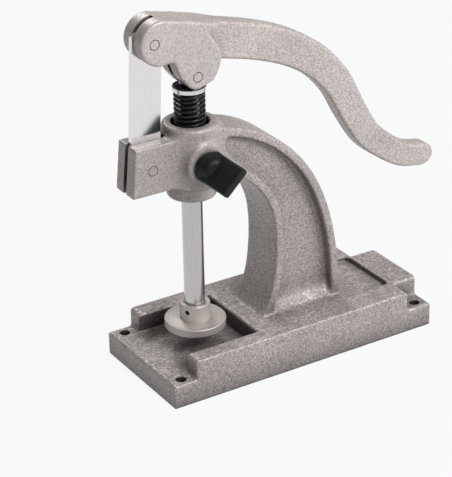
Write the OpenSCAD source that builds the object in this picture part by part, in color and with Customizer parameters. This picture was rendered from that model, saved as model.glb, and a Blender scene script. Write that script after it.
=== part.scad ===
// Bench press for seating watch crystals: a one-piece cast frame, a lever and
// link that push a steel ram down, a return spring and a clamp knob.
// Millimetres. +X runs from the ram towards the handle, +Z is up. The origin is
// the centre of the four base bolt holes, on the underside of the base.

/* [Base] */
// Length of the base
base_l = 186; // [176:1:200]
// Width of the base
base_w = 80; // [76:1:90]
// Height of the low end flange, and of the die pocket's floor
flange_h = 15; // [12:0.5:18]
// Height of the raised top of the base
plateau_h = 27.5; // [25:0.5:32]
// Length of the low flange at the ram end
end_flange_l = 15.5; // [14:0.5:18]
// Length of the die pocket between the rails
pocket_l = 49; // [42:1:54]
// Width of each rail beside the die pocket
rail_w = 12; // [9:0.5:15]
// Length of the cut corner at the handle end
notch_l = 17.5; // [15:0.5:21]
// Width of the cut corner at the handle end, on the clamp's side
notch_w = 15.5; // [14:0.5:18]
// Width of the cut corner at the handle end, on the far side
far_notch_w = 18.5; // [16:0.5:21]
// Diameter of the bolt holes
bolt_d = 6.6; // [5:0.1:7]
// Distance from the base's end to the bolt holes
bolt_inset_x = 8; // [6:0.5:10]
// Distance from the base's side to the bolt holes
bolt_inset_y = 6.5; // [5:0.5:8]

/* [Column] */
// Distance from the ram's axis to the column's inner face
throat_depth = 48.5; // [42:0.5:54]
// Height at which the throat is deepest
throat_mid_h = 74; // [66:1:82]
// Width of the column's flanges
column_w = 33; // [28:1:36]
// Width of the column's top where it meets the head
column_top_w = 26; // [22:1:28]
// Thickness of the web between the flanges
web_t = 19; // [14:1:22]
// Thickness of the inner flange
inner_flange_t = 5; // [4:0.5:7]
// Thickness of the outer flange
outer_flange_t = 6.5; // [4:0.5:9]
// Distance from the column's inner face to its outer face, low down
column_depth = 45.8; // [40:0.2:50]

/* [Head] */
// Distance from the base's ram end to the ram's axis
ram_inset = 38.5; // [34:0.5:42]
// Height of the top of the head
head_top_h = 160.5; // [156:0.5:166]
// Height of the underside of the head
head_bottom_h = 122; // [118:1:126]
// Diameter of the head
head_d = 33.6; // [30:0.2:36]
// Diameter of the short ring under the head
nose_d = 29.4; // [26:0.2:32]
// Length of the short ring under the head
nose_l = 7.5; // [4:0.5:10]
// Diameter of the spring's counterbore
counterbore_d = 22.2; // [20.4:0.2:24]
// Depth of the spring's counterbore
counterbore_depth = 15; // [12:0.5:16]
// Thickness of the ears across both, with their gap
ears_t = 20.5; // [17:0.5:22]
// Height of the ears
ears_h = 30; // [25:0.5:33]
// Distance the ears reach past the lower link pin
ears_overhang = 13.6; // [10:0.2:15]

/* [Linkage] */
// Height of the ram pin at rest
ram_pin_h = 190.1; // [187:0.1:193]
// Distance from the ram pin back to the upper link pin
lever_back = 27.3; // [25:0.1:29]
// Height of the upper link pin above the ram pin
lever_rise = 25.1; // [23:0.1:27]
// Height of the lower link pin
link_foot_h = 140; // [137:0.1:142]
// Distance from the ram's axis to the lower link pin
link_foot_back = 30.9; // [29:0.1:32]
// Diameter of the three linkage pins
pin_d = 6; // [5:0.1:6.5]
// Width of the link bar
link_w = 19; // [16:0.5:20]
// Thickness of the link bar and of the ram's tongue
link_t = 3.2; // [2.5:0.1:4]
// Gap on each side of the link and of the tongue
link_play = 0.2; // [0.1:0.05:0.4]
// Play of the upper pin in the link's upper eye, all round
eye_play = 2.1; // [2:0.1:2.4]

/* [Lever] */
// Thickness of the fork across both cheeks
fork_t = 21; // [18:0.2:23]
// Thickness of the handle
arm_t = 12; // [10:0.5:14]
// Depth of the handle where it leaves the fork
arm_root_h = 23; // [19:0.2:24]
// Depth of the handle at its grip
arm_grip_h = 14.6; // [12:0.2:17]
// Distance from the ram pin to the handle's tip
arm_reach = 172.6; // [160:0.2:185]
// Distance the handle's tip lies below the ram pin
arm_drop = 90.6; // [80:0.2:100]
// Radius of the fork round the upper link pin
back_lobe_r = 13.4; // [12.5:0.1:14.5]
// Radius of the fork below the handle's root
front_lobe_r = 20.6; // [19:0.2:22]

/* [Ram] */
// Diameter of the ram
ram_d = 12.5; // [11:0.1:13]
// Height of the disc's underside at rest
disc_h = 27.6; // [26:0.1:29]
// Diameter of the pressing disc
disc_d = 37.2; // [32:0.2:44]
// Thickness of the pressing disc's flange
disc_t = 4.8; // [3.5:0.1:6]
// Diameter of the disc's hub
disc_hub_d = 18.5; // [17.5:0.1:22]
// Height of the disc's hub
disc_hub_h = 10.5; // [8:0.1:12]
// Diameter of the disc's grub screw
grub_d = 3; // [2.5:0.1:3.4]
// Diameter of the spring collar
collar_d = 19.8; // [19:0.2:22]
// Thickness of the spring collar
collar_t = 2.8; // [2.4:0.1:4]
// Diameter of the retaining ring
clip_d = 17.6; // [16:0.2:18.6]
// Thickness of the retaining ring
clip_t = 0.8; // [0.6:0.1:1.2]

/* [Spring] */
// Outer diameter of the spring
spring_d = 18.7; // [18:0.1:19.2]
// Diameter of the spring's wire
wire_d = 2; // [1.6:0.1:2.2]
// Number of open turns
open_turns = 9; // [6:1:10]

/* [Clamp] */
// Height of the clamp screw
clamp_h = 139; // [137:0.5:141]
// Diameter of the clamp screw
clamp_d = 6; // [5:0.1:7]
// Diameter of the boss round the clamp screw
clamp_boss_d = 24; // [22:0.5:26]
// Distance from the ram's axis to the boss's face
clamp_boss_reach = 18.6; // [17:0.2:20]
// Width of the knob's wing
wing_w = 19.6; // [17:0.2:22]
// Length of the knob's wing beyond the boss
wing_l = 28.9; // [24:0.1:34]
// Thickness of the knob's wing
wing_t = 5; // [4:0.2:7]
// Diameter of the knob's hub
knob_hub_d = 16.4; // [14:0.2:18]
// Tilt of the wing about the screw
wing_tilt = 46; // [0:1:90]

/* [Clearances] */
// Radial clearance of a shaft or pin in its bore
running_fit = 0.05; // [0.02:0.01:0.1]
// Gap between a piece and the seat that it stands off
seat_gap = 0.3; // [0.2:0.05:0.4]

/* [Hidden] */

$fn = 96;
cast_paint = [0.66, 0.64, 0.62];
bright_steel = [0.80, 0.80, 0.82];
black_steel = [0.08, 0.08, 0.09];
turned_aluminium = [0.86, 0.86, 0.87];

ram_x = -base_l / 2 + ram_inset;
ram_r = ram_d / 2;
head_r = head_d / 2;
pin_r = pin_d / 2;
slot_t = link_t + 2 * link_play;

// The three pivots, as x and z
pin_c = [ram_x, ram_pin_h];
pin_a = [ram_x - lever_back, ram_pin_h + lever_rise];
pin_b = [ram_x - link_foot_back, link_foot_h];
link_l = norm(pin_a - pin_b);
link_tilt = atan2(pin_a[0] - pin_b[0], pin_a[1] - pin_b[1]);

// The column's inner and outer faces, low down
inner_x = ram_x + throat_depth;
outer_x = inner_x + column_depth;
column_top_h = head_top_h - 3;

// Heights along the ram
shoulder_h = ram_pin_h - 7.9;
clip_h = shoulder_h - clip_t - 0.6;
collar_top_h = shoulder_h - 0.1;
collar_h = collar_top_h - collar_t;
counterbore_h = head_top_h - counterbore_depth;

// Smooth curves
function bezier(p, n) = [for (i = [0 : n]) let (t = i / n)
    pow(1 - t, 3) * p[0] + 3 * pow(1 - t, 2) * t * p[1]
    + 3 * (1 - t) * t * t * p[2] + t * t * t * p[3]];
function arc(centre, r, from, to, n) = [for (i = [0 : n])
    let (a = from + (to - from) * i / n) centre + r * [cos(a), sin(a)]];
function knot(p, i) = p[min(max(i, 0), len(p) - 1)];
function through(p, n) = concat([for (i = [0 : len(p) - 2], k = [0 : n - 1])
    let (t = k / n, a = knot(p, i - 1), b = p[i], c = p[i + 1], d = knot(p, i + 2))
    0.5 * (2 * b + (c - a) * t + (2 * a - 5 * b + 4 * c - d) * t * t
    + (3 * b - a - 3 * c + d) * t * t * t)], [p[len(p) - 1]]);
function backwards(p) = [for (i = [len(p) - 1 : -1 : 0]) p[i]];
function aim(p, i) = let (v = knot(p, i + 1) - knot(p, i - 1)) v / norm(v);
function shifted(p, d) = [for (i = [0 : len(p) - 1]) let (v = aim(p, i))
    p[i] + d * [v[1], -v[0]]];

// Outline of the column seen from the side, on x and z
throat_top = bezier([[ram_x + head_r + 7, head_bottom_h + 3], [inner_x - 4.7, head_bottom_h - 13.5],
    [inner_x, throat_mid_h + 22], [inner_x, throat_mid_h]], 16);
throat_foot = bezier([[inner_x, throat_mid_h], [inner_x, throat_mid_h - 23],
    [inner_x - 4.4, plateau_h + 5], [inner_x - 13, plateau_h - 2]], 12);
throat_face = concat([[ram_x + 5, head_bottom_h + 22]], throat_top,
    [for (i = [1 : 12]) throat_foot[i]]);
column_back = bezier([[ram_x + 8, column_top_h], [inner_x + 12, column_top_h - 6],
    [outer_x + 1.4, column_top_h - 51], [outer_x - 0.5, plateau_h - 2]], 28);

module side_plate(points, t) {
    translate([0, t / 2, 0])
        rotate([90, 0, 0])
            linear_extrude(t)
                polygon(points);
}

module cross_hole(p, r, l) {
    translate([p[0], 0, p[1]])
        rotate([90, 0, 0])
            cylinder(h = l, r = r, center = true);
}

module base_block() {
    difference() {
        translate([-base_l / 2, -base_w / 2, 0])
            cube([base_l, base_w, plateau_h]);
        translate([-base_l / 2 - 1, -base_w / 2 - 1, flange_h])
            cube([end_flange_l + 1, base_w + 2, plateau_h]);
        translate([-base_l / 2 + end_flange_l - 1, -base_w / 2 + rail_w, flange_h])
            cube([pocket_l + 1, base_w - 2 * rail_w, plateau_h]);
        translate([base_l / 2 - notch_l, -base_w / 2 - 1, flange_h])
            cube([notch_l + 1, notch_w + 1, plateau_h]);
        translate([base_l / 2 - notch_l, base_w / 2 - far_notch_w, flange_h])
            cube([notch_l + 1, far_notch_w + 1, plateau_h]);
        back_recess();
        for (x = [-1, 1], y = [-1, 1])
            translate([x * (base_l / 2 - bolt_inset_x), y * (base_w / 2 - bolt_inset_y), -1])
                cylinder(h = plateau_h + 2, d = bolt_d);
    }
}

// A shallow recess behind the column, deepest at its wall towards the handle's end
recess_wall_x = base_l / 2 - notch_l - 2;
recess_depth = 4.2;
recess_slope = 6.2;
recess_near = -22.4;
recess_w = 45.2;
module back_recess() {
    recess_l = recess_wall_x - outer_x - 2;
    translate([recess_wall_x, recess_near, plateau_h - recess_depth])
        rotate([0, recess_slope, 0])
            translate([-recess_l, 0, 0])
                cube([recess_l, recess_w, 3 * recess_depth]);
}

// The column: two curved flanges joined by a thinner web
module column() {
    draft_h = head_bottom_h - 4;
    difference() {
        union() {
            side_plate(concat(shifted(throat_face, -inner_flange_t), backwards(throat_face)), column_w);
            side_plate(concat(column_back, backwards(shifted(column_back, outer_flange_t))), column_w);
            side_plate(concat(throat_face, backwards(column_back)), web_t);
            head_shoulder();
        }
        for (side = [0, 1])
            mirror([0, side, 0])
                translate([ram_x, 0, 0])
                    rotate([90, 0, 90])
                        linear_extrude(base_l)
                            polygon([[column_w / 2, draft_h], [column_top_w / 2, column_top_h],
                                [column_w, column_top_h + 5], [column_w, draft_h]]);
    }
}

// Full-width metal where the column runs into the head
module head_shoulder() {
    intersection() {
        side_plate(concat(throat_face, backwards(column_back)), column_w);
        translate([ram_x, 0, head_bottom_h + 5])
            cylinder(h = head_top_h, r = head_r + 4);
    }
}

// The two ears, whose ends lean back a little towards the top
module ears() {
    lean = 2.8;
    ears_x = pin_b[0] - ears_overhang;
    low = link_foot_h - ears_h / 2;
    side_plate([[ram_x, low], [ears_x, low], [ears_x + lean, low + ears_h],
        [ram_x, low + ears_h]], ears_t);
}

module frame_casting() {
    slot_end_x = pin_b[0] + link_w / 2 + 3.5;
    color(cast_paint)
        difference() {
            union() {
                base_block();
                column();
                ears();
                translate([ram_x, 0, head_bottom_h])
                    cylinder(h = head_top_h - head_bottom_h, r = head_r);
                translate([ram_x, 0, head_bottom_h - nose_l])
                    cylinder(h = nose_l + 1, d = nose_d);
                translate([ram_x, 0, clamp_h])
                    rotate([90, 0, 0])
                        cylinder(h = clamp_boss_reach, d = clamp_boss_d);
            }
            translate([ram_x, 0, head_bottom_h - nose_l - 1])
                cylinder(h = head_top_h, r = ram_r + running_fit);
            translate([ram_x, 0, counterbore_h])
                cylinder(h = counterbore_depth + 1, d = counterbore_d);
            translate([pin_b[0] - 2 * ears_overhang, -slot_t / 2, head_bottom_h - nose_l])
                cube([slot_end_x - pin_b[0] + 2 * ears_overhang, slot_t, head_top_h]);
            cross_hole(pin_b, pin_r, ears_t + 2);
            translate([ram_x, 0, clamp_h])
                rotate([90, 0, 0])
                    cylinder(h = clamp_boss_reach + 1, r = clamp_d / 2);
        }
}

// The lever: a slotted fork with two lobes, and an S-shaped handle.
// The handle's centreline, in shares of its reach and drop from the ram pin
arm_end_r = arm_grip_h / 2 - 0.4;
arm_shares = [[-0.06, 0.263], [0.129, 0.179], [0.261, 0.113], [0.37, 0.037], [0.463, -0.057],
    [0.538, -0.166], [0.612, -0.328], [0.672, -0.533], [0.741, -0.733], [0.816, -0.855],
    [0.901, -0.957], [0.97, -0.992], [1, -1]];
arm_line = through([for (s = arm_shares)
    pin_c + [s[0] * (arm_reach - arm_end_r), s[1] * arm_drop]], 4);
taper_share = 0.92;
taper_power = 1.25;
function arm_half(i) = (arm_root_h + (arm_grip_h - arm_root_h)
    * pow(min(1, i / (len(arm_line) - 1) / taper_share), taper_power)) / 2;
function arm_side(side) = [for (i = [0 : len(arm_line) - 2]) let (v = aim(arm_line, i))
    arm_line[i] + side * arm_half(i) * [-v[1], v[0]]];
arm_aim = atan2(-1, 12);
arm_tip = arc(arm_line[len(arm_line) - 1], arm_end_r, arm_aim + 80, arm_aim - 80, 16);

back_lobe = pin_a + [4.8, -0.5];
front_lobe = pin_c + [-4.5, 10];
boss_r = 7.6;
fork_outline = concat(
    arc(back_lobe, back_lobe_r, -75, -286, 32),
    [pin_c + [-13, 36.1], pin_c + [-4.5, 34.2]],
    bezier([pin_c + [1, 32], pin_c + [6.5, 25.2], front_lobe + [front_lobe_r, 6.5],
        front_lobe + [front_lobe_r, 0]], 12),
    arc(front_lobe, front_lobe_r, -4, -45, 12),
    arc(pin_c, boss_r, -62, -140, 12),
    [pin_c + [-10.8, 1.2], pin_c + [-14.8, 11.5]]);

module lever_casting() {
    slot_floor = 12.8;
    slot_tilt = atan2(lever_rise, -lever_back);
    color(cast_paint)
        difference() {
            union() {
                side_plate(fork_outline, fork_t);
                side_plate(concat(arm_side(1), arm_tip, backwards(arm_side(-1))), arm_t);
            }
            translate([pin_c[0], 0, pin_c[1]])
                rotate([0, -slot_tilt, 0])
                    translate([-2 * lever_back, -slot_t / 2, -slot_floor])
                        cube([4 * lever_back + link_l, slot_t, 4 * slot_floor]);
            cross_hole(pin_a, pin_r, fork_t + 2);
            cross_hole(pin_c, pin_r + running_fit, fork_t + 2);
        }
}

// The link's upper end is square with cut corners, and crowned over its eye
link_end_r = 7.6;
link_shoulder = 3.2;
link_end = concat([[link_w / 2, 0], [link_w / 2, link_l + link_shoulder]],
    arc([0, link_l], link_end_r, 50, 130, 16),
    [[-link_w / 2, link_l + link_shoulder], [-link_w / 2, 0]]);
module link_bar() {
    color(bright_steel)
        translate([pin_b[0], 0, pin_b[1]])
            rotate([0, link_tilt, 0])
                rotate([90, 0, 0])
                    translate([0, 0, -link_t / 2])
                        linear_extrude(link_t)
                            difference() {
                                union() {
                                    circle(d = link_w);
                                    polygon(link_end);
                                }
                                circle(r = pin_r + running_fit);
                                translate([0, link_l])
                                    circle(r = pin_r + eye_play);
                            }
}

module link_pin_lower() {
    color(cast_paint)
        cross_hole(pin_b, pin_r, ears_t);
}

module link_pin_upper() {
    color(cast_paint)
        cross_hole(pin_a, pin_r, fork_t);
}

module ram_pin() {
    color(cast_paint)
        cross_hole(pin_c, pin_r, fork_t);
}

// The disc, its hub and the ram's lower end, seated in a blind bore
disc_hub_top = disc_h + disc_t + disc_hub_h;
ram_foot_h = disc_h + 3;
grub_h = disc_hub_top - 4;
grub_turn = 208;
module ram_rod() {
    color(bright_steel)
        difference() {
            union() {
                translate([ram_x, 0, ram_foot_h])
                    cylinder(h = shoulder_h - ram_foot_h, r = ram_r);
                ram_tongue();
            }
            cross_hole(pin_c, pin_r, ram_d);
            ring_groove();
        }
}

// The flat tongue milled on the ram's top, with the pin's hole
module ram_tongue() {
    tongue_w = ram_d - 0.6;
    translate([pin_c[0], link_t / 2, pin_c[1]])
        rotate([90, 0, 0])
            linear_extrude(link_t)
                union() {
                    translate([-tongue_w / 2, shoulder_h - pin_c[1] - 1])
                        square([tongue_w, pin_c[1] - shoulder_h + 1]);
                    circle(d = tongue_w);
                }
}

module ring_groove() {
    translate([ram_x, 0, clip_h])
        difference() {
            cylinder(h = clip_t, r = ram_r + 1);
            translate([0, 0, -1])
                cylinder(h = clip_t + 2, r = ram_r - 0.8);
        }
}

// The collar under the ring, sunk on top so that its rim stands round the ring
module spring_collar() {
    sunk_d = clip_d + 0.6;
    color(bright_steel)
        difference() {
            translate([ram_x, 0, collar_h])
                cylinder(h = collar_t, d = collar_d);
            translate([ram_x, 0, collar_h - 1])
                cylinder(h = collar_t + 2, r = ram_r + running_fit);
            translate([ram_x, 0, clip_h])
                cylinder(h = collar_t, d = sunk_d);
        }
}

// An open ring that snaps into the ram's groove, in the collar's top
module retaining_ring() {
    gap = 5;
    color(black_steel)
        translate([ram_x, 0, clip_h])
            difference() {
                cylinder(h = clip_t, d = clip_d);
                translate([0, 0, -1])
                    cylinder(h = clip_t + 2, r = ram_r - 0.8 + running_fit);
                translate([ram_r / 2, -gap / 2, -1])
                    cube([clip_d, gap, clip_t + 2]);
            }
}

// Compression spring: one closed turn at each end, open turns between
coil_r = (spring_d - wire_d) / 2;
coil_low = counterbore_h + wire_d / 2 + seat_gap;
coil_high = collar_h - wire_d / 2 - seat_gap;
coil_rings = 12;
wire_sides = 6;
coil_turns = open_turns + 2;
closed_rise = wire_d + 0.45;
open_rise = (coil_high - coil_low - 2 * closed_rise) / open_turns;
function coil_height(turn) = coil_low + (turn < 1 ? turn * closed_rise
    : turn < coil_turns - 1 ? closed_rise + (turn - 1) * open_rise
    : closed_rise + open_turns * open_rise + (turn - coil_turns + 1) * closed_rise);
function coil_point(turn) = [ram_x + coil_r * cos(360 * turn), coil_r * sin(360 * turn),
    coil_height(turn)];
function along(turn) = [-sin(360 * turn), cos(360 * turn), 0];
coil_path = concat([coil_point(0) - wire_d * along(0)],
    [for (i = [0 : coil_turns * coil_rings]) coil_point(i / coil_rings)],
    [coil_point(coil_turns) + wire_d * along(coil_turns)]);
function spoke(p) = let (d = [p[0] - ram_x, p[1], 0]) d / norm(d);
function wire_ring(p) = [for (k = [0 : wire_sides - 1]) let (a = 360 * k / wire_sides)
    p + wire_d / 2 * (cos(a) * spoke(p) + sin(a) * [0, 0, 1])];
coil_rise_min = min([for (i = [0 : (coil_turns - 1) * coil_rings])
    coil_height(i / coil_rings + 1) - coil_height(i / coil_rings)]);
echo(least_gap_between_turns = coil_rise_min - wire_d);

module return_spring() {
    rings = len(coil_path);
    points = [for (p = coil_path) each wire_ring(p)];
    sides = [for (i = [0 : rings - 2], k = [0 : wire_sides - 1])
        let (a = i * wire_sides + k, b = i * wire_sides + (k + 1) % wire_sides)
        each [[a, a + wire_sides, b + wire_sides], [a, b + wire_sides, b]]];
    last = (rings - 1) * wire_sides;
    caps = [for (k = [1 : wire_sides - 2])
        each [[0, k, k + 1], [last, last + k + 1, last + k]]];
    color(black_steel)
        polyhedron(points = points, faces = concat(sides, caps), convexity = 10);
}

module pressing_disc() {
    color(turned_aluminium)
        difference() {
            union() {
                translate([ram_x, 0, disc_h])
                    cylinder(h = disc_t, d = disc_d);
                translate([ram_x, 0, disc_h + disc_t - 1])
                    cylinder(h = disc_hub_h + 1, d = disc_hub_d);
            }
            translate([ram_x, 0, ram_foot_h])
                cylinder(h = disc_hub_top, r = ram_r + running_fit);
            translate([ram_x, 0, grub_h])
                rotate([0, 90, grub_turn])
                    cylinder(h = disc_d, d = grub_d);
        }
}

module disc_grub_screw() {
    grub_l = disc_hub_d / 2 - ram_r - 0.8;
    socket_d = 1.6;
    color(black_steel)
        translate([ram_x, 0, grub_h])
            rotate([0, 90, grub_turn])
                translate([0, 0, ram_r])
                    difference() {
                        cylinder(h = grub_l, d = grub_d);
                        translate([0, 0, grub_l - 1])
                            cylinder(h = 2, d = socket_d, $fn = 6);
                    }
}

// The clamp: a brass pad, the screw that pushes it and the winged knob
pad_gap = 0.6;
pad_l = 4;
hub_gap = 1.5;
pad_start = ram_r + pad_gap;
screw_start = pad_start + pad_l;
knob_start = clamp_boss_reach + hub_gap;
screw_r = clamp_d / 2 - running_fit;
screw_end = knob_start + 7;
foot_t = 3;
foot_d = knob_hub_d + 1.2;

module outward(reach) {
    translate([ram_x, -reach, clamp_h])
        rotate([90, 0, 0])
            children();
}

module clamp_knob() {
    dome_l = 9;
    corner_r = 2;
    color("black")
        difference() {
            union() {
                outward(knob_start)
                    cylinder(h = foot_t, d = foot_d);
                outward(knob_start)
                    cylinder(h = dome_l - 3, d = knob_hub_d);
                outward(knob_start + dome_l - 3)
                    cylinder(h = 3, d1 = knob_hub_d, d2 = knob_hub_d - 5);
                outward(knob_start)
                    rotate([0, 0, wing_tilt])
                        rotate([90, 0, 0])
                            translate([0, 0, -wing_t / 2])
                                linear_extrude(wing_t)
                                    union() {
                                        translate([-wing_w / 2, 0])
                                            square([wing_w, wing_l - corner_r]);
                                        translate([-wing_w / 2 + corner_r, 0])
                                            square([wing_w - 2 * corner_r, wing_l]);
                                        for (side = [-1, 1])
                                            translate([side * (wing_w / 2 - corner_r), wing_l - corner_r])
                                                circle(r = corner_r);
                                    }
            }
            outward(0)
                cylinder(h = screw_end, r = screw_r);
        }
}

module clamp_screw() {
    color(bright_steel)
        outward(screw_start)
            cylinder(h = screw_end - screw_start, r = screw_r);
}

module clamp_pad() {
    color("goldenrod")
        outward(pad_start)
            cylinder(h = pad_l, r = screw_r);
}

frame_casting();
lever_casting();
link_bar();
link_pin_lower();
link_pin_upper();
ram_pin();
ram_rod();
spring_collar();
retaining_ring();
return_spring();
pressing_disc();
disc_grub_screw();
clamp_knob();
clamp_screw();
clamp_pad();
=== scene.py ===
import math
import bpy
import numpy as np
from mathutils import Matrix, Vector


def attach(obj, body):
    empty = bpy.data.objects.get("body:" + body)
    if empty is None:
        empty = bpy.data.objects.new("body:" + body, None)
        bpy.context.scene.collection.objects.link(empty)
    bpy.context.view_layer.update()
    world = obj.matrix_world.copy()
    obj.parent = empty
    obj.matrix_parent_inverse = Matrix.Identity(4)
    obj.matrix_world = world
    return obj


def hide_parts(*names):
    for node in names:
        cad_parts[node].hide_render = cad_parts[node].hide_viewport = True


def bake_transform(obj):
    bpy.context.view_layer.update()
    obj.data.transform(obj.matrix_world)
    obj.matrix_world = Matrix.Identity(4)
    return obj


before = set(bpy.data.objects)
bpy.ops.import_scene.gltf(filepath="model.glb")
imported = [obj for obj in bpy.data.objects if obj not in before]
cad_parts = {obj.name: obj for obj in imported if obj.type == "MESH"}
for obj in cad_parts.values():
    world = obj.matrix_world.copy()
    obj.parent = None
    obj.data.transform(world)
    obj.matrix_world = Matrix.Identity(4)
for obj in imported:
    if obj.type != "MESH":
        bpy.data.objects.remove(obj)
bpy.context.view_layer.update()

# The camera looks down on the ram end from the front left, as in the photograph.
# It was placed by fitting the base's corners, the ram and the three pins.
camera_turn = math.radians(-31.562)
camera_rise = math.radians(26.551)
camera_roll = math.radians(-1.052)
camera_spot = Vector((-0.5759, -0.8859, 0.5978))
camera_data = bpy.data.cameras.new("camera")
camera_data.lens = 146.98
camera_data.sensor_width = 36
camera_data.sensor_fit = "AUTO"
camera_data.clip_start = 0.05
back = Vector((math.sin(camera_turn) * math.cos(camera_rise),
               -math.cos(camera_turn) * math.cos(camera_rise), math.sin(camera_rise)))
level = Vector((math.cos(camera_turn), math.sin(camera_turn), 0))
upright = back.cross(level)
across = level * math.cos(camera_roll) + upright * math.sin(camera_roll)
upward = upright * math.cos(camera_roll) - level * math.sin(camera_roll)
camera = bpy.data.objects.new("camera", camera_data)
camera.matrix_world = Matrix.Translation(camera_spot) @ Matrix((across, upward, back)).transposed().to_4x4()
bpy.context.scene.collection.objects.link(camera)
bpy.context.scene.camera = camera

# The frame is one casting: base, curved column and head. It came from a sand
# mould, so its edges are round and its corners filleted, and only the bores,
# the ears' slot and the spring's seat were cut afterwards. Hammertone paint.
ram_x = -54.5
base_l, base_w = 186, 80
flange_h, plateau_h = 15, 27.5
recess_x, recess_y, recess_half_l, recess_half_w = 57.7, 0.2, 15.7, 22.5
recess_start, recess_step, recess_fall = 42, 0.8, 0.1085
column_narrows, column_halves = (118, 157.5), (16.5, 13)
rim_wide, web_half, web_foot, web_clear = 5.4, 9.5, 16.5, 20
head_r, head_low, head_top = 16.8, 122, 160.5
nose_r, nose_up, nose_drop = 14.7, 4, 7.5
clamp_z, boss_r, boss_reach = 139, 12, 18.6
pin_low = (ram_x - 30.9, 140)
ear_half, ear_high, ear_end, ear_lean = 10.25, 15, pin_low[0] - 13.6, 2.8
slot_half, slot_deep = 1.8, 13
bore_r, seat_r, seat_low, pin_r, stud_hole_r = 6.3, 11.1, 145.5, 3, 3
bolt_hole_r, bolt_sink_r = 3.3, 4.8
bolt_spots = [(x * 85, y * 33.5) for x in (-1, 1) for y in (-1, 1)]
ram_line = (ram_x, 0, 0), (0, 0, 1)
clamp_line = (ram_x, 0, clamp_z), (0, -1, 0)


def bezier(a, b, c, d, n):
    t = np.linspace(0, 1, n + 1)[:, None]
    return ((1 - t) ** 3 * np.array(a) + 3 * (1 - t) ** 2 * t * np.array(b)
            + 3 * (1 - t) * t * t * np.array(c) + t ** 3 * np.array(d))


def arc(centre, r, start, end, n):
    a = np.radians(np.linspace(start, end, n + 1))
    return np.stack([centre[0] + r * np.cos(a), centre[1] + r * np.sin(a)], 1)


def outline_depth(u, v, points):
    """How far each point (u, v) lies outside an outline; inside it is below 0."""
    nearest = np.full(np.broadcast(u, v).shape, 1e9, np.float32)
    inside = np.zeros(nearest.shape, bool)
    for (ax, ay), (bx, by) in zip(points, np.roll(points, -1, 0)):
        ex, ey = bx - ax, by - ay
        long = ex * ex + ey * ey
        if long < 1e-9:
            continue
        s = np.clip(((u - ax) * ex + (v - ay) * ey) / long, 0, 1)
        nearest = np.minimum(nearest, (u - ax - s * ex) ** 2 + (v - ay - s * ey) ** 2)
        crosses = (ay > v) != (by > v)
        if ey != 0:
            inside ^= crosses & (u < ax + (v - ay) * ex / ey)
    return np.where(inside, -np.sqrt(nearest), np.sqrt(nearest)).astype(np.float32)


def slab(face, thick, r):
    """A plate from an outline's depth and a depth through its thickness, edges rounded to r."""
    a, b = face + r, thick + r
    return np.minimum(np.maximum(a, b), 0) + np.hypot(np.maximum(a, 0), np.maximum(b, 0)) - r


def join(a, b, soft):
    """Both bodies as one, with a fillet of about soft in the corner."""
    h = np.maximum(soft - np.abs(a - b), 0) / soft
    return np.minimum(a, b) - h * h * soft / 4


def common(a, b, soft):
    """What both bodies share, with its new edge rounded by about soft."""
    return -join(-a, -b, soft)


def skin(name, body, low, high, step, inset=0.015):
    """The mesh of a body's surface, on a grid of cells step wide, in mm. It lies a hair
    inside the body, so that it never passes the CAD's own faces."""
    axes = [np.arange(l, h + step, step, dtype=np.float32) for l, h in zip(low, high)]
    f = body(axes[0][:, None, None], axes[1][None, :, None], axes[2][None, None, :])
    f = np.broadcast_to(f, [len(a) for a in axes]) + inset
    inner = f < 0
    count = np.zeros([n - 1 for n in f.shape], np.int8)
    corners = [(i, j, k) for i in (0, 1) for j in (0, 1) for k in (0, 1)]
    for c in corners:
        count += inner[tuple(slice(s, s + n) for s, n in zip(c, count.shape))]
    cells = np.argwhere((count > 0) & (count < 8))
    total = np.zeros((len(cells), 3))
    hits = np.zeros(len(cells))
    for c in corners:
        for axis in range(3):
            if c[axis]:
                continue
            far = np.array(c)
            far[axis] = 1
            fa = f[tuple((cells + c).T)]
            fb = f[tuple((cells + far).T)]
            cut = (fa < 0) != (fb < 0)
            t = np.where(cut, fa / np.where(cut, fa - fb, 1), 0)
            spot = np.repeat([c], len(cells), 0).astype(float)
            spot[:, axis] += t
            total += spot * cut[:, None]
            hits += cut
    points = (cells + total / hits[:, None]) * step + np.array(low)
    number = np.full(count.shape, -1, np.int32)
    number[tuple(cells.T)] = np.arange(len(cells))
    faces = []
    for axis in range(3):
        b, c = (axis + 1) % 3, (axis + 2) % 3
        head = [slice(None)] * 3
        tail = [slice(None)] * 3
        head[axis], tail[axis] = slice(1, None), slice(None, -1)
        change = inner[tuple(tail)].astype(np.int8) - inner[tuple(head)].astype(np.int8)
        spots = np.argwhere(change != 0)
        spots = spots[(spots[:, b] > 0) & (spots[:, c] > 0) & (spots[:, b] < count.shape[b])
                      & (spots[:, c] < count.shape[c])]
        sign = change[tuple(spots.T)]
        step_b, step_c = np.eye(3, dtype=int)[b], np.eye(3, dtype=int)[c]
        around = [spots, spots - step_b, spots - step_b - step_c, spots - step_c]
        quad = np.stack([number[tuple(p.T)] for p in around], 1)
        faces.append(np.where(sign[:, None] > 0, quad, quad[:, ::-1]))
    quads = np.concatenate(faces)
    mesh = bpy.data.meshes.new(name)
    mesh.vertices.add(len(points))
    mesh.vertices.foreach_set("co", (points / 1000).astype(np.float32).ravel())
    mesh.loops.add(quads.size)
    mesh.loops.foreach_set("vertex_index", quads.ravel().astype(np.int32))
    mesh.polygons.add(len(quads))
    mesh.polygons.foreach_set("loop_start", np.arange(0, quads.size, 4, dtype=np.int32))
    mesh.update(calc_edges=True)
    mesh.validate()
    return place(name, mesh)


def place(name, mesh):
    piece = bpy.data.objects.new(name, mesh)
    bpy.context.scene.collection.objects.link(piece)
    return piece


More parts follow.
